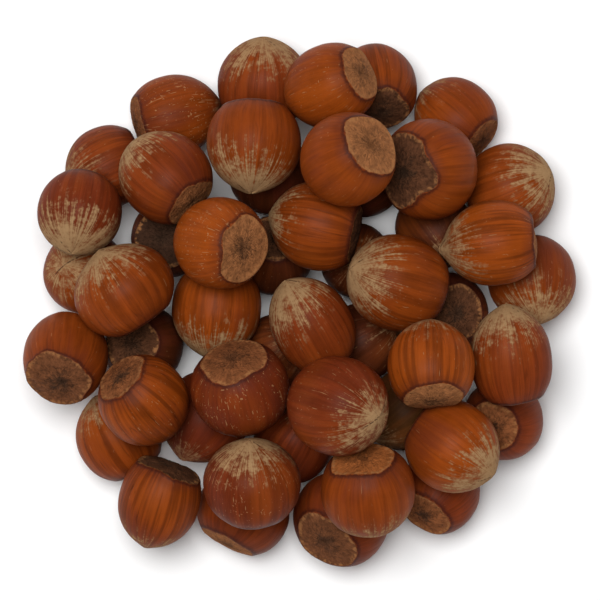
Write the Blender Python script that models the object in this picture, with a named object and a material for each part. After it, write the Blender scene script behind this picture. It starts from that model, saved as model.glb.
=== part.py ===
"""A loose heap of hazelnuts in their shells, lying on a flat surface.

Each nut is one closed solid: a round shell, a shallow point at its tip, and at its base the wide
scar where it sat in its husk. The nuts start near their places, in three layers. They then sink
together and part wherever they touch, until each lies on the surface or on the nuts under it.
"""

import math

import bmesh
import bpy
import numpy as np
from mathutils import Matrix, Vector

MM = 0.001  # the sizes below are in millimetres

# The nut's shape, as shares of its own size
SIDES = 16  # sides round a nut
DEPTH_SHARE = 0.96  # a nut is a little flatter one way than its width
BELLY_SHARE = 0.46  # height of the widest place, up from the base
DOME_SHARE = 0.07  # how far the middle of the scar stands out, by the scar's width
BASE_FULLNESS = 2.3  # how square the shell turns in under the belly: 2 is round
CROWN_FULLNESS = 2.1
CROWN_POINT = 0.6  # 0.5 is a round crown, and more makes a sharper tip
SCAR_RING = (0.6, 0.66)  # the ring inside the scar: its radius and how far out it stands
UNDER_RINGS = (0.3, 0.64)  # rings between the scar's rim and the belly
CROWN_RINGS = (0.36, 0.66, 0.88)  # rings between the belly and the tip

GAP = 0.3  # between nuts that touch

# How the heap settles, in millimetres and passes
STARTS = (0.0, 28.0, 40.0)  # height at which each layer's nuts start
EASE = (1.0, 5.0, 8.0)  # how readily each layer's nuts are moved by one that they touch
PASSES = 700
LAST_PASSES = 150  # these only part the nuts, with no pull on them
SINK = 0.06  # how far a nut sinks in one pass
HOMING = 0.15  # share of its way home that a nut goes in one pass
WAYS_TRIED = 1400  # directions in which two nuts are tried against each other
REACH = 26.0  # nuts with their middles further apart than this can't touch

# Shell colours: colour and roughness
TONES = {
    "amber": ((0.34, 0.105, 0.022), 0.42),
    "russet": ((0.25, 0.060, 0.018), 0.40),
    "umber": ((0.15, 0.045, 0.016), 0.48),
}

# number: x, y, tip's heading, tip's rise in degrees, width, length, scar's share of the width, tone.
# A heading of 0 points along +X and 90 along +Y. A nut with its tip down shows its scar.
LOWEST_NUTS = {
    44: (12.7, 9.0, 0, 90, 17.4, 17.6, 0.66, "umber"),
    49: (-4.5, -11.5, 35, 40, 17.6, 17.8, 0.66, "umber"),
    40: (-7.0, 10.4, -100, -60, 18.0, 18.8, 0.68, "umber"),
    45: (14.0, -9.5, 30, 20, 18.2, 19.0, 0.66, "umber"),
    37: (33.5, -3.0, 180, -78, 18.8, 19.0, 0.68, "umber"),
    41: (31.0, 15.5, -60, 35, 17.8, 18.6, 0.66, "umber"),
    43: (15.5, 30.0, 45, -10, 19.2, 19.4, 0.66, "umber"),
    42: (-7.2, 29.0, 90, 30, 18.6, 19.0, 0.66, "umber"),
    39: (-29.5, 14.5, 0, -78, 18.4, 19.0, 0.70, "umber"),
    38: (-35.5, -10.4, -10, -70, 18.8, 19.0, 0.72, "umber"),
    20: (-18.2, -2.2, -96, -2, 20.4, 21.0, 0.64, "amber"),
    47: (-22.2, -27.4, -120, 10, 20.4, 20.4, 0.66, "umber"),
    48: (-1.0, -31.6, 60, 25, 18.4, 18.8, 0.66, "umber"),
    46: (23.5, -25.5, -140, 15, 18.2, 19.0, 0.66, "umber"),
    1: (-9.2, 49.2, 90, 22, 21.2, 20.6, 0.64, "russet"),
    3: (17.0, 48.8, 101, -45, 19.2, 20.0, 0.66, "russet"),
    4: (-27.2, 42.6, 15, -12, 18.8, 20.6, 0.62, "russet"),
    5: (34.8, 41.8, 140, -22, 18.4, 19.4, 0.60, "amber"),
    6: (-44.5, 30.0, 205, 5, 19.0, 18.8, 0.64, "russet"),
    11: (48.5, 25.5, 23, 27, 21.2, 20.2, 0.64, "russet"),
    13: (-49.4, 6.5, 160, 65, 19.2, 19.5, 0.64, "amber"),
    18: (52.8, 4.0, -80, 28, 20.4, 20.0, 0.64, "russet"),
    36: (46.5, -27.0, 30, -68, 18.8, 19.0, 0.60, "russet"),
    29: (-41.5, -30.5, 121, 10, 19.5, 19.6, 0.64, "amber"),
    33: (-12.5, -47.5, 63, -12, 21.4, 19.2, 0.62, "russet"),
    34: (9.8, -49.2, 52, -45, 22.4, 20.2, 0.66, "russet"),
    35: (32.0, -43.0, 55, -40, 18.8, 19.0, 0.62, "russet"),
}
PILED_NUTS = {
    2: (4.6, 47.4, 202, -35, 19.2, 21.4, 0.66, "amber"),
    8: (-10.6, 34.6, -93, 15, 21.5, 21.2, 0.64, "amber"),
    7: (-29.9, 28.2, 137, -22, 20.6, 21.2, 0.66, "russet"),
    12: (-50.0, 19.5, -100, 28, 19.5, 19.2, 0.64, "russet"),
    10: (30.0, 30.0, 6, -50, 23.4, 20.8, 0.68, "russet"),
    17: (43.0, 12.5, 187, 2, 19.5, 21.6, 0.62, "amber"),
    24: (47.5, -12.5, 97, 12, 18.8, 22.8, 0.62, "russet"),
    16: (21.0, 4.0, 164, 28, 22.0, 23.2, 0.64, "russet"),
    28: (34.9, -33.7, -35, 17, 21.0, 21.4, 0.64, "russet"),
    32: (15.0, -43.5, -83, -33, 21.6, 20.8, 0.68, "russet"),
    31: (-11.0, -40.5, 93, 27, 22.2, 19.8, 0.64, "russet"),
    30: (-32.7, -46.0, -107, -17, 18.6, 20.8, 0.74, "russet"),
    25: (-35.0, -23.5, -47, -33, 20.4, 20.8, 0.66, "amber"),
    22: (-52.2, -12.0, 83, -50, 19.6, 21.4, 0.76, "russet"),
    19: (-40.5, 3.0, 123, 12, 23.6, 19.6, 0.62, "russet"),
    14: (-18.9, 12.8, 169, -55, 20.8, 21.8, 0.72, "amber"),
    26: (-13.5, -20.5, -74, -36, 22.8, 20.8, 0.66, "russet"),
    15: (3.5, 16.5, 168, -10, 20.4, 21.0, 0.64, "russet"),
    21: (2.0, -5.0, 120, 22, 18.6, 22.8, 0.62, "russet"),
}
TOP_NUTS = {
    23: (29.4, -14.1, 92, -20, 20.0, 19.8, 0.70, "amber"),
    27: (9.5, -25.0, -15, 45, 22.8, 23.4, 0.62, "russet"),
    9: (9.8, 30.4, 213, -50, 21.2, 21.8, 0.70, "amber"),
}
STANDING_NUT = 44  # stands on its scar, which is flat


def profile(width, length, scar_share, flat):
    """The rings of a nut, base to tip, as (radius, height), and the heights of its two ends."""
    radius, rim = width / 2, width / 2 * scar_share
    dome = 0.0 if flat else DOME_SHARE * 2 * rim
    belly = BELLY_SHARE * length
    cut = (1 - scar_share**BASE_FULLNESS) ** (1 / BASE_FULLNESS)  # where the scar cuts the base's curve
    drop = (belly - dome) / cut
    rings = [] if flat else [(rim * SCAR_RING[0], dome * (1 - SCAR_RING[1]))]
    rings.append((rim, dome))
    for share in UNDER_RINGS:
        height = dome + (belly - dome) * share
        turn = ((belly - height) / drop) ** BASE_FULLNESS
        rings.append((radius * (1 - turn) ** (1 / BASE_FULLNESS), height))
    rings.append((radius, belly))
    for share in CROWN_RINGS:
        rings.append((radius * (1 - share**CROWN_FULLNESS) ** CROWN_POINT, belly + (length - belly) * share))
    return rings


def nut_mesh(name, width, length, scar_share, flat):
    """A nut with its tip along +Z and its middle at its origin, in metres."""
    bm = bmesh.new()
    rows = []
    for radius, height in profile(width, length, scar_share, flat):
        row = []
        for side in range(SIDES):
            turn = math.tau * side / SIDES
            at = (radius * math.cos(turn), DEPTH_SHARE * radius * math.sin(turn), height - length / 2)
            row.append(bm.verts.new([c * MM for c in at]))
        rows.append(row)
    tip = bm.verts.new((0, 0, length / 2 * MM))
    base = None if flat else bm.verts.new((0, 0, -length / 2 * MM))
    for side in range(SIDES):
        after = (side + 1) % SIDES
        for low, high in zip(rows, rows[1:]):
            bm.faces.new((low[side], low[after], high[after], high[side]))
        bm.faces.new((rows[-1][side], rows[-1][after], tip))
        if base:
            bm.faces.new((rows[0][after], rows[0][side], base))
    if flat:
        bm.faces.new(rows[0][::-1])
    mesh = bpy.data.meshes.new(name)
    bm.to_mesh(mesh)
    bm.free()
    mesh.shade_smooth()
    return mesh


def lie(heading, rise):
    """The turn that lays a nut with its tip at this heading and rise, its width level."""
    heading, rise = math.radians(heading), math.radians(rise)
    tip = Vector((math.cos(rise) * math.cos(heading), math.cos(rise) * math.sin(heading), math.sin(rise)))
    across = Vector((-math.sin(heading), math.cos(heading), 0))
    return Matrix((across, tip.cross(across), tip)).transposed()


def even_directions(count):
    """Evenly spread unit vectors."""
    index = np.arange(count)
    up = 1 - (2 * index + 1) / count
    turn = index * math.pi * (3 - math.sqrt(5))
    level = np.sqrt(1 - up**2)
    return np.stack((level * np.cos(turn), level * np.sin(turn), up), axis=1)


def part_nuts(places, ease, first, second, reach, reach_back):
    """Moves each pair of nuts that lie closer than GAP apart. Two nuts are clear of each other if they
    are so in any one direction, so each pair goes the way that asks least of it."""
    offsets = places[second] - places[first]
    near = np.linalg.norm(offsets, axis=1) < REACH
    first, second, offsets = first[near], second[near], offsets[near]
    clear = offsets @ WAYS.T - reach[first] - reach_back[second]
    best = clear.argmax(axis=1)
    missing = np.maximum(GAP - clear.max(axis=1), 0)[:, None]
    share = (ease[first] / (ease[first] + ease[second]))[:, None]
    np.add.at(places, first, -WAYS[best] * missing * share)
    np.add.at(places, second, WAYS[best] * missing * (1 - share))


def settle(homes, ease, corners):
    """The places of the nuts' middles once the heap lies still."""
    reach = np.array([(c @ WAYS.T).max(axis=0) for c in corners])
    reach_back = np.array([(c @ -WAYS.T).max(axis=0) for c in corners])
    floor = np.array([-c[:, 2].min() for c in corners])
    first, second = np.triu_indices(len(homes), k=1)
    places = homes.copy()
    places[:, 2] = np.maximum(places[:, 2], floor)
    for passed in range(PASSES + LAST_PASSES):
        if passed < PASSES:
            places[:, 2] -= SINK
            places[:, :2] += (homes[:, :2] - places[:, :2]) * HOMING
        part_nuts(places, ease, first, second, reach, reach_back)
        places[:, 2] = np.maximum(places[:, 2], floor)
    return places


def shell_material(tone):
    colour, roughness = TONES[tone]
    material = bpy.data.materials.new(f"shell_{tone}")
    material.use_nodes = True
    surface = material.node_tree.nodes["Principled BSDF"]
    surface.inputs["Base Color"].default_value = (*colour, 1)
    surface.inputs["Roughness"].default_value = roughness
    surface.inputs["Metallic"].default_value = 0.0
    return material


for old in list(bpy.data.objects):
    bpy.data.objects.remove(old)

WAYS = even_directions(WAYS_TRIED)
materials = {tone: shell_material(tone) for tone in TONES}
names, meshes, turns, homes, ease = [], [], [], [], []
for layer, start, layer_ease in zip((LOWEST_NUTS, PILED_NUTS, TOP_NUTS), STARTS, EASE):
    for number, (x, y, heading, rise, width, length, scar_share, tone) in layer.items():
        names.append(f"hazelnut_{number:02d}")
        meshes.append(nut_mesh(names[-1], width, length, scar_share, flat=number == STANDING_NUT))
        meshes[-1].materials.append(materials[tone])
        turns.append(lie(heading, rise))
        homes.append((x, y, start))
        ease.append(layer_ease)
corners = [np.array([turn @ v.co / MM for v in mesh.vertices]) for mesh, turn in zip(meshes, turns)]
places = settle(np.array(homes), np.array(ease), corners)

# The heap's box stands with the middle of its bottom at the origin.
points = np.concatenate([c + place for c, place in zip(corners, places)])
middle = (points.min(axis=0) + points.max(axis=0)) / 2
places -= (middle[0], middle[1], points[:, 2].min())
for name, mesh, turn, place in zip(names, meshes, turns, places):
    nut = bpy.data.objects.new(name, mesh)
    nut.location = Vector(place) * MM
    nut.rotation_euler = turn.to_euler()
    bpy.context.scene.collection.objects.link(nut)
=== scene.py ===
"""A loose heap of hazelnuts in their shells.

Each nut is shaped from its own measured blank: a satin brown shell, dust round its tip, and at its base the
rough scar where it sat in its husk.
"""

import math

import bpy
import numpy as np
from mathutils import Matrix, Vector


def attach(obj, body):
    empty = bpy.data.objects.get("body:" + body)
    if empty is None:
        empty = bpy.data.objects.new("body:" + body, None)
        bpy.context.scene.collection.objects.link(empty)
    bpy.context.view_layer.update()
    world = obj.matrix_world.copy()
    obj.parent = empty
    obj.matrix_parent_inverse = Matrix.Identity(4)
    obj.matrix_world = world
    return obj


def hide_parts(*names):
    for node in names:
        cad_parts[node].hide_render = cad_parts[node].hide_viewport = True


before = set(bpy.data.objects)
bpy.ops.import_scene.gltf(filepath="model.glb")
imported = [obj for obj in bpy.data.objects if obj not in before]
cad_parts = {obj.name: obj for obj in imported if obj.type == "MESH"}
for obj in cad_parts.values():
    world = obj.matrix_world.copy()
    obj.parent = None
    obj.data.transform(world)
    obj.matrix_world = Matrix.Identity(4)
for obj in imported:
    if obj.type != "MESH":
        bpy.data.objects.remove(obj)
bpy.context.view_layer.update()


# --------------------------------------------------------------------------------------------------
# The nuts' blanks. Every nut lies where its CAD solid lies, and keeps its length, width and scar. They are
# read from the solid: its poles are its tip and its scar's middle, and its rings lie square to that line.

SOLID_SIDES = 16  # faces that meet at a pole
SAME_LEVEL = 0.0001  # points this close in height are on one ring


def take_measure(node):
    """The matrix that puts a nut in its place, and its sizes in metres.

    The sizes are width, depth, length, the scar's radius and how far the middle of the scar stands out.
    """
    points = np.empty(len(node.data.vertices) * 3)
    node.data.vertices.foreach_get("co", points)
    corners, same = np.unique(points.reshape(-1, 3).round(6), axis=0, return_inverse=True)
    same = same.ravel()
    faces = np.array([[same[i] for i in face.vertices] for face in node.data.polygons])
    counts = np.bincount(faces.ravel(), minlength=len(corners))
    middle = corners.mean(axis=0)
    poles = {}
    for pole in np.flatnonzero(counts >= SOLID_SIDES):
        ring = np.setdiff1d(faces[(faces == pole).any(axis=1)], [pole])
        poles[np.linalg.norm(corners[pole] - corners[ring].mean(axis=0))] = corners[pole]
    tip = poles[max(poles)]
    along = (tip - middle) / np.linalg.norm(tip - middle)
    heights = (corners - tip) @ along
    length = -heights.min()
    level = corners - tip - heights[:, None] * along
    across = np.linalg.svd(level, full_matrices=False)[2][0]
    across -= along * (across @ along)
    across /= np.linalg.norm(across)
    if np.cross(along, across)[2] < 0:
        across = -across  # the same side of every nut faces up
    deep = np.cross(along, across)
    rises = np.sort(heights + length)
    levels = rises[np.append(True, np.diff(rises) > SAME_LEVEL)]
    rim_height = levels[2] if len(poles) > 1 else levels[0]
    rim = np.abs(level[np.abs(heights + length - rim_height) < SAME_LEVEL] @ across).max()
    place = Matrix.Identity(4)
    place.col[0][:3], place.col[1][:3], place.col[2][:3] = across, deep, along
    place.col[3][:3] = tip - along * length / 2
    return place, 2 * np.abs(level @ across).max(), 2 * np.abs(level @ deep).max(), length, rim, rim_height


# --------------------------------------------------------------------------------------------------
# The nut's shape. A shell is a rounded cup under its belly and a crown that comes to a shallow point. It is
# a little uneven and faintly ribbed. The scar is a low dome of torn fibre inside a lumpy, wandering rim.


class Wire:
    """A node's output. Arithmetic on it adds Math nodes."""

    def __init__(self, bench, socket):
        self.bench = bench
        self.socket = socket

    def calc(self, operation, *others):
        return self.bench.calc(operation, self, *others)

    def out(self, name):
        return Wire(self.bench, self.socket.node.outputs[name])

    def __add__(self, other):
        return self.calc("ADD", other)

    def __sub__(self, other):
        return self.calc("SUBTRACT", other)

    def __rsub__(self, other):
        return self.bench.calc("SUBTRACT", other, self)

    def __mul__(self, other):
        return self.calc("MULTIPLY", other)

    def __truediv__(self, other):
        return self.calc("DIVIDE", other)

    def __pow__(self, other):
        return self.calc("POWER", other)

    def __neg__(self):
        return self.calc("MULTIPLY", -1)

    __radd__ = __add__
    __rmul__ = __mul__


class Bench:
    """Adds nodes to one tree."""

    def __init__(self, tree):
        self.tree = tree

    def node(self, kind, settings=None, links=None, out=0):
        made = self.tree.nodes.new(kind)
        for name, value in (settings or {}).items():
            setattr(made, name, value)
        for key, value in (links or {}).items():
            if isinstance(value, Wire):
                self.tree.links.new(value.socket, made.inputs[key])
            else:
                made.inputs[key].default_value = value
        return Wire(self, made.outputs[out])

    def calc(self, operation, *values):
        return self.node("ShaderNodeMath", {"operation": operation}, dict(enumerate(values)))

    def fade(self, value, low, high, start=0.0, end=1.0):
        """Goes smoothly from start to end as value goes from low to high."""
        ends = {0: value, 1: low, 2: high, 3: start, 4: end}
        return self.node("ShaderNodeMapRange", {"interpolation_type": "SMOOTHSTEP"}, ends)

    def mix(self, low, high, factor, blend="MIX"):
        """A colour that goes from low to high as factor goes from 0 to 1."""
        low, high = [(*c, 1) if isinstance(c, tuple) else c for c in (low, high)]
        settings = {"data_type": "RGBA", "blend_type": blend, "clamp_factor": True}
        return self.node("ShaderNodeMix", settings, {0: factor, 6: low, 7: high}, out=2)

    def vector(self, x, y, z):
        return self.node("ShaderNodeCombineXYZ", None, {0: x, 1: y, 2: z})

    def noise(self, at, scale, detail=2.0, roughness=0.5):
        """Soft noise about 0, mostly from -0.5 to 0.5."""
        values = {"Vector": at, "Scale": scale, "Detail": detail, "Roughness": roughness}
        return self.node("ShaderNodeTexNoise", None, values) - 0.5


ROWS = 90  # rows of faces from the scar's middle to the tip
SCAR_ROWS = 20
COLUMNS = 112
UNDER_ROWS = 0.4  # share of the shell's rows that lie under its belly
BELLY_SHARE = 0.46  # this and the next three give the same outline as the CAD solid's
BASE_FULLNESS = 2.3
CROWN_FULLNESS = 2.1
CROWN_POINT = 0.6
FIT = 0.987  # the CAD solid's flats lie inside its corners, so the round nut is this much smaller
LARGEST_RIM = 0.9  # share of the belly's radius that the scar's rim never passes
TIP_SHARPNESS = 5.2  # the point at the tip is about this many times narrower than the belly
MM = 0.001


def nut_tree():
    """Geometry Nodes that turn a sphere's rows and columns into one nut, tip up, middle at the origin."""
    tree = bpy.data.node_groups.new("hazelnut", "GeometryNodeTree")
    for name, kind in (
        ("Width", "Float"),
        ("Depth", "Float"),
        ("Length", "Float"),
        ("Rim Share", "Float"),
        ("Dome", "Float"),
        ("Lobes", "Float"),
        ("Uneven", "Float"),
        ("Ribs", "Float"),
        ("Point", "Float"),
        ("Seed", "Float"),
        ("Shell Colour", "Vector"),
        ("Scar Colour", "Vector"),
        ("Look", "Vector"),
        ("Dust", "Vector"),
        ("Dust Side", "Vector"),
        ("Finish", "Material"),
    ):
        tree.interface.new_socket(name, in_out="INPUT", socket_type=f"NodeSocket{kind}")
    tree.interface.new_socket("Nut", in_out="OUTPUT", socket_type="NodeSocketGeometry")
    b = Bench(tree)
    given = b.node("NodeGroupInput")
    radius, length = given.out("Width") / 2, given.out("Length")
    share, dome, seed = given.out("Rim Share"), given.out("Dome"), given.out("Seed")

    size = {"Segments": COLUMNS, "Rings": ROWS, "Radius": 1.0}
    sphere = b.node("GeometryNodeMeshUVSphere", None, size)
    ball = b.node("ShaderNodeSeparateXYZ", None, {0: b.node("GeometryNodeInputPosition")})
    x, y, z = ball.out("X"), ball.out("Y"), ball.out("Z")
    row = 0.5 + z.calc("MINIMUM", 1).calc("MAXIMUM", -1).calc("ARCSINE") / math.pi
    out = (x * x + y * y).calc("SQRT").calc("MAXIMUM", 1e-5)
    cos, sin = x / out, y / out
    scar_share = SCAR_ROWS / ROWS

    # The rim wanders in slow lobes, with small notches.
    around = b.vector(cos * 0.62, sin * 0.62, seed)
    notches = b.vector(cos * 4.5, sin * 4.5, seed + 7)
    wander = b.noise(around, 1.0, 1.0) * 0.65 + b.noise(notches, 1.0, 2.0) * 0.07
    rim = (share * (1 + wander * given.out("Lobes"))).calc("MINIMUM", LARGEST_RIM)

    def cut(rim_share):
        return (1 - rim_share**BASE_FULLNESS) ** (1 / BASE_FULLNESS)

    belly = length * BELLY_SHARE
    drop = (belly - dome) / cut(share)
    rim_height = belly - drop * cut(rim)
    reach = (row / scar_share).calc("MINIMUM", 1)  # 0 in the middle of the scar, 1 at its rim
    shell = ((row - scar_share) / (1 - scar_share)).calc("MAXIMUM", 0)
    turn = cut(rim) * (1 - shell / UNDER_ROWS).calc("MAXIMUM", 0)
    rise = ((shell - UNDER_ROWS) / (1 - UNDER_ROWS)).calc("MAXIMUM", 0).calc("MINIMUM", 1)
    rise = (rise * (math.pi / 2)).calc("SINE")
    under = (1 - turn**BASE_FULLNESS).calc("MAXIMUM", 0) ** (1 / BASE_FULLNESS)
    crown = (1 - rise**CROWN_FULLNESS).calc("MAXIMUM", 0) ** CROWN_POINT
    on_scar = row.calc("LESS_THAN", scar_share - 1e-4)
    above = shell.calc("GREATER_THAN", UNDER_ROWS)
    shell_radius = under * (1 - above) + crown * above
    shell_height = (belly - drop * turn) * (1 - above) + (belly + (length - belly) * rise) * above
    from_axis = radius * (shell_radius * (1 - on_scar) + rim * reach * on_scar)
    height = shell_height * (1 - on_scar) + rim_height * reach * reach * on_scar

    # Outward steps in metres: slow unevenness, faint ribs, the rim's fringe and the scar's torn fibre.
    side = b.vector(cos * from_axis, sin * from_axis, height)
    bulge = b.noise(b.vector(cos * 0.8, sin * 0.8, height * 55 + seed), 1.0, 1.0)
    shell_away = shell * length * 1.45  # about how far up the shell from the rim
    rib = b.noise(b.vector(cos * 7, sin * 7, height * 40 + seed), 1.0, 2.0)
    near_ends = b.fade(crown * above + (1 - above), 0.1, 0.6) * b.fade(shell_away, 0, 3 * MM)
    fringe_at = b.noise(b.vector(cos * 9, sin * 9, seed + 3), 1.0, 2.0)
    edge = reach * on_scar
    fringe = b.fade(edge, 0.84, 0.93) * b.fade(edge, 0.97, 1.0, 1.0, 0.0) * (0.6 + fringe_at * 1.6)
    torn = b.noise(b.vector(cos * reach * 5, sin * reach * 5, seed + 5), 1.0, 3.0, 0.6)
    fibre = b.noise(b.vector(cos * 11, sin * 11, reach * 1.5 + seed), 1.0, 2.0)
    pit = b.fade(reach, 0.03, 0.2, 1.0, 0.0) * on_scar
    lip = b.fade(shell_away, 0.1 * MM, 1.6 * MM, 1.0, 0.0) * (1 - on_scar)
    step = (
        bulge * given.out("Uneven") * radius * 0.05
        + rib * given.out("Ribs") * near_ends * (0.12 * MM)
        + fringe * (0.16 * MM)
        + on_scar * (torn * (0.32 * MM) + fibre * (0.2 * MM) * b.fade(reach, 0.15, 0.6) - 0.12 * MM)
        - pit * (0.3 * MM)
        + lip * (0.10 * MM) * (1 + fringe_at * 1.4)
    )
    swell = FIT + step / radius
    tip_near = (-((from_axis / radius * TIP_SHARPNESS) ** 2)).calc("EXPONENT")
    height = height + tip_near * above * given.out("Point")
    wide = cos * from_axis * swell
    deep = sin * from_axis * swell * given.out("Depth") / given.out("Width")
    place = b.vector(wide, deep, (height - length / 2) * swell)

    # What the finish reads: each point's meridian and height, and how far it is from the rim and the tip.
    tip_gap = (from_axis * from_axis + (length - height) ** 2).calc("SQRT") / MM
    rim_gap = (shell_away - (1 - reach) * rim * radius * on_scar) / MM
    both_ways = {0: side, 1: given.out("Dust Side")}
    sideways = b.node("ShaderNodeVectorMath", {"operation": "DOT_PRODUCT"}, both_ways).out("Value") / radius
    marked = sphere
    for name, kind, value in (
        ("meridian", "FLOAT_VECTOR", b.vector(cos, sin, height / length)),
        ("gaps", "FLOAT_VECTOR", b.vector(rim_gap, tip_gap, sideways)),
        ("shell", "FLOAT_VECTOR", given.out("Shell Colour")),
        ("scar", "FLOAT_VECTOR", given.out("Scar Colour")),
        ("look", "FLOAT_VECTOR", given.out("Look")),
        ("dust", "FLOAT_VECTOR", given.out("Dust")),
        ("reach", "FLOAT", reach),
        ("seed", "FLOAT", seed),
    ):
        marked = b.node("GeometryNodeStoreNamedAttribute", {"data_type": kind, "domain": "POINT"},
                        {"Geometry": marked, "Name": name, "Value": value})
    shaped = b.node("GeometryNodeSetPosition", None, {"Geometry": marked, "Position": place})
    smooth = b.node("GeometryNodeSetShadeSmooth", None, {"Geometry": shaped})
    real = b.node("GeometryNodeRealizeInstances", None, {"Geometry": smooth})
    finished = b.node("GeometryNodeSetMaterial", None, {"Geometry": real, "Material": given.out("Finish")})
    tree.links.new(finished.socket, tree.nodes.new("NodeGroupOutput").inputs[0])
    return tree


# --------------------------------------------------------------------------------------------------
# The nut's finish. The shell is woody and satin, striped and finely grained from its base to its tip. The
# dust on the tip is a matt down that runs out in rays. The scar is bare and fibrous, darker in its middle.

DUST = (0.280, 0.166, 0.078)
DUST_THIN = (0.210, 0.102, 0.046)
DARK_RED = (0.080, 0.014, 0.007)
BRIGHT_ORANGE = (0.290, 0.062, 0.006)
BASE_BROWN = (0.060, 0.012, 0.007)
FLECK = (0.340, 0.165, 0.070)
SEAM = (0.045, 0.016, 0.009)
OUTLINE = (0.035, 0.008, 0.005)
FRINGE = (0.300, 0.128, 0.046)
SCAR_MIDDLE = (0.050, 0.026, 0.015)
CRACK = (0.030, 0.013, 0.007)
SHELL_GLOSS = 0.055


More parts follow.
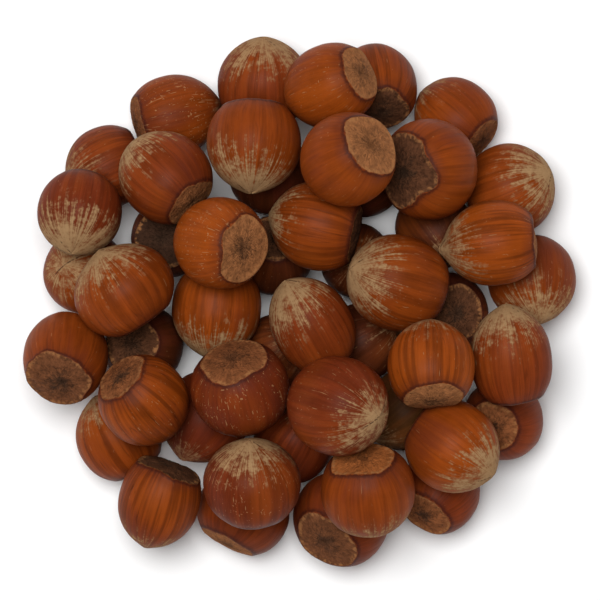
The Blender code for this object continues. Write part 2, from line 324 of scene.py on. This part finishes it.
def nut_finish():
    made = bpy.data.materials.new("hazelnut shell")
    made.use_nodes = True
    tree = made.node_tree
    tree.nodes.clear()
    b = Bench(tree)

    def read(name, out):
        return b.node("ShaderNodeAttribute", {"attribute_name": name}, None, out)

    def parts(name):
        split = b.node("ShaderNodeSeparateXYZ", None, {0: read(name, "Vector")})
        return split.out("X"), split.out("Y"), split.out("Z")

    cos, sin, rise = parts("meridian")
    rim_gap, tip_gap, sideways = parts("gaps")
    stripes, flecks, scar_dark = parts("look")
    dusted, dust_reach, dust_pull = parts("dust")
    reach, seed = read("reach", "Fac"), read("seed", "Fac")
    at = b.node("ShaderNodeTexCoord", None, None, "Object")

    def grain(fine, runs, offset, detail=2.0, roughness=0.5):
        """Noise drawn out along the meridians: fine across them, runs along them."""
        drawn_out = b.vector(cos * fine, sin * fine, rise * runs + seed * 3.7 + offset)
        return b.noise(drawn_out, 1.0, detail, roughness)

    def shaded(colour, by):
        return b.mix(colour, b.vector(by, by, by), 1.0, "MULTIPLY")

    # Shell: slow patches, broad stripes, thin dark veins, grain and hairlines.
    slow = b.noise(at, 60.0, 1.0)
    patches = b.noise(at, 110.0, 3.0, 0.6)
    blots = b.noise(at, 420.0, 3.0, 0.6)
    specks = b.noise(at, 1500.0, 2.0)
    broad = grain(5.5, 0.7, 11.0, 1.0)
    narrow = grain(13.0, 1.2, 23.0, 2.0)
    fine = grain(30.0, 3.5, 31.0, 2.0, 0.6)
    hair = grain(62.0, 7.0, 43.0, 1.0)
    stripe = b.fade(broad * 0.9 + narrow * 0.5, -0.10, 0.10)
    vein = b.fade((grain(6.5, 0.9, 37.0, 1.0) + fine * 0.05).calc("ABSOLUTE"), 0.002, 0.022, 1.0, 0.0)
    vein = vein * b.fade(patches + broad, -0.15, 0.15)
    shade = 1 + patches * 0.45 + blots * 0.25 - (1 - stripe) * stripes * 0.45 + narrow * 0.30 + fine * 0.32
    shell = shaded(read("shell", "Color"), shade + hair * 0.16 - vein * stripes * 0.45)
    shell = b.mix(shell, DARK_RED, b.fade(broad * 0.7 + slow * 1.3, 0.0, 0.45) * 0.60)
    shell = b.mix(shell, BRIGHT_ORANGE, b.fade(slow * 1.4 - broad * 0.6, 0.05, -0.45) * 0.35)
    shell = b.mix(shell, BASE_BROWN, b.fade(rim_gap + patches * 4, 0.0, 4.5, 0.40, 0.0))

    # Flecks and short pale scratches.
    spot = b.noise(at, 2000.0, 1.0) + blots * 0.4
    scratch = grain(34.0, 9.0, 71.0, 0.0)
    spots = b.fade(spot + flecks * 0.17, 0.35, 0.41)
    scratches = b.fade(scratch + flecks * 0.12, 0.36, 0.42)
    fleck = spots.calc("MAXIMUM", scratches)
    shell = b.mix(shell, FLECK, fleck * (0.35 + flecks * 0.30))

    # The scar's dark outline on the shell.
    lumps = b.noise(b.vector(cos * 8, sin * 8, seed), 1.0, 2.0)
    line = b.fade(rim_gap + lumps * 1.0, 0.05, 0.3) * b.fade(rim_gap + specks * 1.0, 0.3, 1.3, 1.0, 0.0)
    shell = b.mix(shell, OUTLINE, line * 0.75)

    # Dust round the tip: worn through in blots, broken at its edge into rays, and parted by a dark seam.
    rays = grain(11.0, 0.5, 83.0, 2.0, 0.6)
    fine_rays = grain(30.0, 1.2, 89.0, 2.0, 0.65)
    edge = dust_reach + sideways * dust_pull
    cover = 0.2 + (edge - tip_gap) / 7 + rays * 2.8 + fine_rays * 2.8 + blots * 3.2 + specks * 1.3
    dust = b.fade(cover, 0.0, 0.5) * b.fade(tip_gap - edge, 0.0, 8.0, 1.0, 0.0) * dusted
    thick = b.fade(cover + specks, 0.2, 1.3)
    powder = shaded(b.mix(DUST_THIN, DUST, thick), 1 + fine_rays * 0.5 + blots * 0.35 + specks * 0.3)
    shell = b.mix(shell, powder, dust * (0.60 + thick * 0.36))
    seam_way = (sin * 0.8 + cos * 0.6 + blots * 0.10).calc("ABSOLUTE") * tip_gap
    seam = b.fade(seam_way, 0.06, 0.26, 1.0, 0.0) * b.fade(tip_gap + specks * 4, 3.0, 5.0, 1.0, 0.0)
    seam = seam * b.fade(b.noise(at, 1300.0, 1.0), -0.06, 0.06)
    shell = b.mix(shell, SEAM, seam * dusted * 0.85)

    # Scar: fibres and cracks from the middle out, mottling, a dark middle, a pale lumpy border.
    mottle = b.noise(at, 750.0, 4.0, 0.7)
    curl = blots * 1.6
    fibres = b.noise(b.vector(cos * 11 + curl, sin * 11 - curl, reach * 6.0 + seed), 1.0, 3.0, 0.65)
    split = b.noise(b.vector(cos * 5.5 - curl, sin * 5.5 + curl, reach * 5.0 + seed + 9), 1.0, 2.0, 0.6)
    cracks = b.fade(split.calc("ABSOLUTE"), 0.0, 0.045, 1.0, 0.0)
    cracks = cracks * b.fade(reach + mottle, 0.15, 0.95, 1.0, 0.1)
    shade = 1 + fibres * 1.2 * b.fade(reach, 0.05, 0.4) + mottle * (0.9 + scar_dark) + blots * 0.8
    scar = shaded(read("scar", "Color"), shade)
    middle = b.fade(reach + mottle * 0.9 + blots * 0.6 + fibres * 0.3, 0.02, 0.52, 1.0, 0.0)
    scar = b.mix(scar, SCAR_MIDDLE, middle * scar_dark)
    scar = b.mix(scar, CRACK, cracks * (0.30 + scar_dark * 0.55))
    border = b.fade(rim_gap + lumps * 1.1 + specks * 0.8, -0.95, -0.35)
    border = border * b.fade(lumps + blots + specks, -0.20, 0.25)
    scar = b.mix(scar, FRINGE, border * (0.90 - scar_dark * 0.30))
    inside = b.fade(rim_gap + specks * 0.5 + blots * 0.3, -0.10, 0.18, 1.0, 0.0)
    colour = b.mix(shell, scar, inside)

    matt = (dust * 0.9 + inside).calc("MINIMUM", 1)
    roughness = 0.46 + fine * 0.25 + hair * 0.15 + fleck * 0.1 + matt * 0.40
    height = (
        (fine * 0.030 + hair * 0.016 + narrow * 0.03 - vein * 0.02 - fleck * 0.02) * (1 - inside)
        + dust * (specks * 0.04 + blots * 0.03)
        + inside * (fibres * 0.18 + mottle * 0.30 + specks * 0.10 - cracks * 0.15)
    )
    bump = b.node("ShaderNodeBump", None, {"Height": height, "Strength": 1.0, "Distance": MM})
    finished = {
        "Base Color": colour,
        "Roughness": roughness,
        "Normal": bump,
        "Specular IOR Level": SHELL_GLOSS,
    }
    skin = b.node("ShaderNodeBsdfPrincipled", None, finished)
    tree.links.new(skin.socket, tree.nodes.new("ShaderNodeOutputMaterial").inputs["Surface"])
    return made


# --------------------------------------------------------------------------------------------------
# The nuts as they lie. Each is one solid piece with its own colour, stripes, dust and scar; the low nuts'
# darker colours are partly painted shade.
# Nothing holds them: they rest on the surface and on each other.

SHELLS = {
    "orange": (0.238, 0.044, 0.004),
    "amber": (0.200, 0.036, 0.004),
    "russet": (0.172, 0.029, 0.005),
    "red": (0.140, 0.022, 0.005),
    # umber is darker than the nuts' own brown: painted shade for the low nuts that lie in the heap's shadow
    "umber": (0.076, 0.017, 0.005),
    "olive": (0.080, 0.028, 0.007),
}
SCARS = {
    "tan": (0.240, 0.092, 0.033),
    "brown": (0.170, 0.057, 0.020),
    "bark": (0.125, 0.045, 0.018),
    "orange": (0.275, 0.084, 0.022),
    # dull is the own dull brown scar of some nuts, and painted shade on the scars of the low nuts 37, 38 and
    # 40
    "dull_and_painted_shade": (0.080, 0.031, 0.014),
    # dark is painted shade: the scar of the low nut 39, darkened for the shadow it lies in
    "painted_shade_brown": (0.045, 0.020, 0.011),
}
# number: shell, stripes, flecks, dust, its reach from the tip in mm, the heading that it pulls to, by how
# many mm, scar, how dark its middle is, how far its rim wanders, how far the tip stands out in mm
LOOKS = {
    1: ("russet", 0.6, 0.4, 0.9, 9.0, 90, 1.0, "brown", 0.5, 1.0, 0.35),
    2: ("orange", 0.3, 0.8, 0.3, 4.0, 0, 0.0, "tan", 0.35, 1.2, 0.35),
    3: ("amber", 0.8, 0.3, 0.5, 5.0, 90, 0.0, "dull_and_painted_shade", 0.6, 1.0, 0.35),
    4: ("amber", 0.4, 1.0, 0.6, 4.0, 0, 0.0, "brown", 0.5, 1.0, 0.35),
    5: ("amber", 0.4, 0.4, 0.8, 6.0, 150, 1.0, "brown", 0.6, 1.0, 0.35),
    6: ("russet", 0.7, 0.3, 0.8, 7.0, 205, 2.0, "brown", 0.5, 1.0, 0.35),
    7: ("russet", 0.5, 0.4, 1.0, 9.5, 137, 2.0, "tan", 0.3, 1.0, 0.35),
    8: ("amber", 0.4, 0.3, 1.0, 9.0, -145, 3.0, "brown", 0.5, 1.0, 0.35),
    9: ("amber", 0.3, 0.5, 0.5, 4.0, 213, 0.0, "tan", 0.1, 1.0, 0.35),
    10: ("amber", 0.5, 0.3, 0.7, 5.0, 6, 1.0, "dull_and_painted_shade", 0.9, 1.6, 0.35),
    11: ("amber", 0.5, 0.3, 1.0, 9.0, 23, 1.0, "brown", 0.5, 1.0, 0.35),
    12: ("red", 0.4, 0.4, 1.0, 11.0, -90, 1.0, "brown", 0.5, 1.0, 0.35),
    13: ("amber", 0.4, 0.3, 1.0, 6.5, 90, 1.0, "brown", 0.5, 1.0, 0.35),
    14: ("orange", 0.3, 1.0, 0.5, 4.0, 169, 0.0, "tan", 0.5, 1.2, 0.35),
    15: ("amber", 0.7, 0.3, 1.0, 8.0, 168, 1.0, "dull_and_painted_shade", 0.6, 1.0, 0.35),
    16: ("amber", 0.6, 0.6, 1.0, 9.0, 170, 1.5, "brown", 0.5, 1.0, 0.35),
    17: ("orange", 0.8, 0.6, 1.0, 8.0, 187, 0.5, "tan", 0.4, 1.0, 0.9),
    18: ("amber", 0.4, 0.3, 1.0, 8.0, -80, 1.0, "brown", 0.5, 1.0, 0.35),
    19: ("amber", 0.6, 0.5, 1.0, 9.5, 135, 1.0, "brown", 0.5, 1.0, 0.35),
    20: ("orange", 0.6, 0.3, 1.0, 8.5, -96, 2.0, "brown", 0.5, 1.0, 0.35),
    21: ("russet", 0.5, 0.4, 1.0, 9.0, 190, 3.0, "brown", 0.5, 1.0, 0.35),
    22: ("amber", 0.4, 0.4, 0.5, 4.0, 83, 0.0, "bark", 0.8, 1.7, 0.35),
    23: ("orange", 0.8, 0.5, 0.9, 7.0, 92, 0.5, "tan", 0.4, 1.0, 0.35),
    24: ("russet", 0.5, 0.3, 1.0, 9.0, 150, 2.0, "brown", 0.5, 1.0, 0.35),
    25: ("orange", 0.85, 0.7, 0.6, 4.5, -47, 0.0, "brown", 0.8, 1.5, 0.35),
    26: ("red", 0.3, 1.0, 0.5, 4.0, -74, 0.0, "brown", 0.35, 1.1, 0.35),
    27: ("red", 0.4, 0.7, 1.0, 8.5, -120, 3.5, "brown", 0.5, 1.0, 0.35),
    28: ("orange", 0.4, 0.4, 1.0, 8.0, -60, 2.0, "brown", 0.5, 1.0, 0.35),
    29: ("amber", 0.8, 0.4, 1.0, 6.0, 121, 0.5, "brown", 0.5, 1.0, 0.35),
    30: ("amber", 0.8, 0.3, 1.0, 6.0, -107, 0.0, "dull_and_painted_shade", 0.7, 1.0, 0.5),
    31: ("red", 0.5, 0.9, 1.0, 7.5, 93, 1.5, "brown", 0.5, 1.0, 0.35),
    32: ("amber", 0.4, 0.4, 1.0, 9.0, -83, 1.5, "orange", 0.2, 1.2, 0.35),
    33: ("russet", 0.5, 0.4, 0.5, 4.0, 63, 0.0, "tan", 0.4, 1.0, 0.35),
    34: ("russet", 0.4, 0.3, 0.5, 4.0, 52, 0.0, "bark", 0.5, 1.2, 0.35),
    35: ("russet", 0.4, 0.3, 0.5, 4.0, 55, 0.0, "brown", 0.7, 1.2, 0.35),
    36: ("russet", 0.4, 0.3, 0.5, 4.0, 30, 0.0, "brown", 0.6, 1.0, 0.35),
    # Nuts 37 to 45 and 49 lie low in the heap: their umber shells are darkened as painted shade, and so are
    # the scars of 37 to 40
    37: ("umber", 0.5, 0.3, 0.5, 4.0, 180, 0.0, "dull_and_painted_shade", 0.7, 1.0, 0.35),
    38: ("umber", 0.5, 0.3, 0.5, 4.0, -10, 0.0, "dull_and_painted_shade", 0.5, 1.0, 0.35),
    39: ("umber", 0.5, 0.3, 0.5, 4.0, 0, 0.0, "painted_shade_brown", 0.5, 1.2, 0.35),
    40: ("umber", 0.5, 0.3, 0.5, 4.0, -100, 0.0, "dull_and_painted_shade", 0.6, 1.0, 0.35),
    41: ("umber", 0.5, 0.3, 0.7, 5.0, -60, 0.0, "brown", 0.5, 1.0, 0.35),
    42: ("umber", 0.5, 0.3, 0.7, 5.0, 90, 0.0, "brown", 0.5, 1.0, 0.35),
    43: ("umber", 0.5, 0.3, 0.7, 5.0, 45, 0.0, "brown", 0.5, 1.0, 0.35),
    44: ("umber", 0.5, 0.3, 0.7, 5.0, 0, 0.0, "brown", 0.5, 1.0, 0.35),
    45: ("umber", 0.5, 0.6, 0.7, 5.0, 30, 0.0, "brown", 0.5, 1.0, 0.35),
    46: ("olive", 0.3, 0.2, 0.7, 5.0, -140, 0.0, "brown", 0.5, 1.0, 0.35),
    47: ("red", 0.5, 0.3, 0.7, 5.0, -120, 0.0, "brown", 0.5, 1.0, 0.35),
    48: ("red", 0.5, 0.3, 0.7, 5.0, 60, 0.0, "brown", 0.5, 1.0, 0.35),
    49: ("umber", 0.5, 0.3, 0.7, 5.0, 35, 0.0, "brown", 0.5, 1.0, 0.35),
}

UNEVEN = 1.5  # how far out of round the nuts are, and how deep their ribs
RIBS = 1.0
SEED_STEP = 2.7  # sets each nut's noise apart from the next one's

shape = nut_tree()
finish = nut_finish()
sockets = {item.name: item.identifier for item in shape.interface.items_tree if item.in_out == "INPUT"}

for number, look in LOOKS.items():
    shell, stripes, flecks, dusted, dust_reach, dust_heading, dust_pull, scar, scar_dark, lobes, point = look
    solid = f"hazelnut_{number:02d}"
    place, width, depth, length, rim, dome = take_measure(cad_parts[solid])
    heading = math.radians(dust_heading)
    side = place.to_3x3().inverted() @ Vector((math.cos(heading), math.sin(heading), 0))
    blank = bpy.data.objects.new(f"blank_{number:02d}", bpy.data.meshes.new("blank"))
    bpy.context.scene.collection.objects.link(blank)
    modifier = blank.modifiers.new("hazelnut", "NODES")
    modifier.node_group = shape
    for name, value in (
        ("Width", width),
        ("Depth", depth),
        ("Length", length),
        ("Rim Share", rim / (width / 2)),
        ("Dome", dome),
        ("Lobes", lobes),
        ("Uneven", UNEVEN),
        ("Ribs", RIBS),
        ("Point", point * MM),
        ("Seed", number * SEED_STEP),
        ("Shell Colour", SHELLS[shell]),
        ("Scar Colour", SCARS[scar]),
        ("Look", (stripes, flecks, scar_dark)),
        ("Dust", (dusted, dust_reach, dust_pull)),
        ("Dust Side", tuple(side)),
        ("Finish", finish),
    ):
        modifier[sockets[name]] = value
    made = blank.evaluated_get(bpy.context.evaluated_depsgraph_get())
    mesh = bpy.data.meshes.new_from_object(made, depsgraph=bpy.context.evaluated_depsgraph_get())
    bpy.data.objects.remove(blank)
    mesh.name = f"nut_{number:02d}"
    mesh.materials.clear()
    mesh.materials.append(finish)
    mesh.polygons.foreach_set("material_index", [0] * len(mesh.polygons))
    mesh.transform(place)
    nut = bpy.data.objects.new(mesh.name, mesh)
    bpy.context.scene.collection.objects.link(nut)
    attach(nut, "root")
    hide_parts(solid)


# --------------------------------------------------------------------------------------------------
# The floor is a plain matt white board, large enough to fill the view from any side.

FLOOR_HALF = 3.0
FLOOR_DROP = 0.0005  # the uneven nuts reach a little below the flat that their solids stand on
board = bpy.data.meshes.new("board")
corners = [(x * FLOOR_HALF, y * FLOOR_HALF, -FLOOR_DROP) for x, y in ((-1, -1), (1, -1), (1, 1), (-1, 1))]
board.from_pydata(corners, [], [(0, 1, 2, 3)])
floor = bpy.data.objects.new("board", board)
bpy.context.scene.collection.objects.link(floor)
paper = bpy.data.materials.new("matt white board")
paper.use_nodes = True
paper_bench = Bench(paper.node_tree)
paper_skin = paper.node_tree.nodes["Principled BSDF"]
paper_skin.inputs["Roughness"].default_value = 0.9
paper_place = paper_bench.node("ShaderNodeTexCoord", None, None, "Object")
paper_tone = paper_bench.noise(paper_place, 40.0, 2.0)
paper_colour = paper_bench.mix((0.88, 0.88, 0.88), (0.90, 0.90, 0.90), 0.5 + paper_tone)
paper.node_tree.links.new(paper_colour.socket, paper_skin.inputs["Base Color"])
board.materials.append(paper)


# --------------------------------------------------------------------------------------------------
# Light and camera. A wide soft light stands high over the heap, a little to one side, in a studio whose
# walls glow round the horizon. The camera looks straight down through a long lens.

LIGHT_WAY = Vector((0.12, -0.14, -1.0))
overhead = bpy.data.lights.new("overhead", "SUN")
overhead.energy = 3.4
overhead.angle = math.radians(30)
lamp = bpy.data.objects.new("overhead", overhead)
lamp.rotation_euler = LIGHT_WAY.to_track_quat("-Z", "Y").to_euler()
bpy.context.scene.collection.objects.link(lamp)

WALL_GLOW = 1.0
CEILING_GLOW = 0.07
room = bpy.data.worlds.new("studio")
room.use_nodes = True
room_bench = Bench(room.node_tree)
room_way = room_bench.node("ShaderNodeTexCoord", None, None, "Generated")
room_up = room_bench.node("ShaderNodeSeparateXYZ", None, {0: room_way}).out("Z")
glow = room_bench.fade(room_up, 0.10, 0.50, WALL_GLOW, CEILING_GLOW)
room.node_tree.links.new(glow.socket, room.node_tree.nodes["Background"].inputs["Strength"])
room.node_tree.nodes["Background"].inputs["Color"].default_value = (1.0, 1.0, 1.0, 1.0)
bpy.context.scene.world = room

VIEW_WIDTH = 0.1360  # width that the lens takes in at VIEW_LEVEL
VIEW_LEVEL = 0.02
VIEW_MIDDLE = 0.0005
CAMERA_HEIGHT = 2.0
lens = bpy.data.cameras.new("camera")
lens.sensor_width = 36.0
lens.lens = lens.sensor_width * (CAMERA_HEIGHT - VIEW_LEVEL) / VIEW_WIDTH
lens.clip_start = 0.05
lens.clip_end = 20.0
camera = bpy.data.objects.new("camera", lens)
camera.location = (0.0, VIEW_MIDDLE, CAMERA_HEIGHT)
bpy.context.scene.collection.objects.link(camera)
bpy.context.scene.camera = camera
bpy.context.scene.view_settings.view_transform = "Standard"
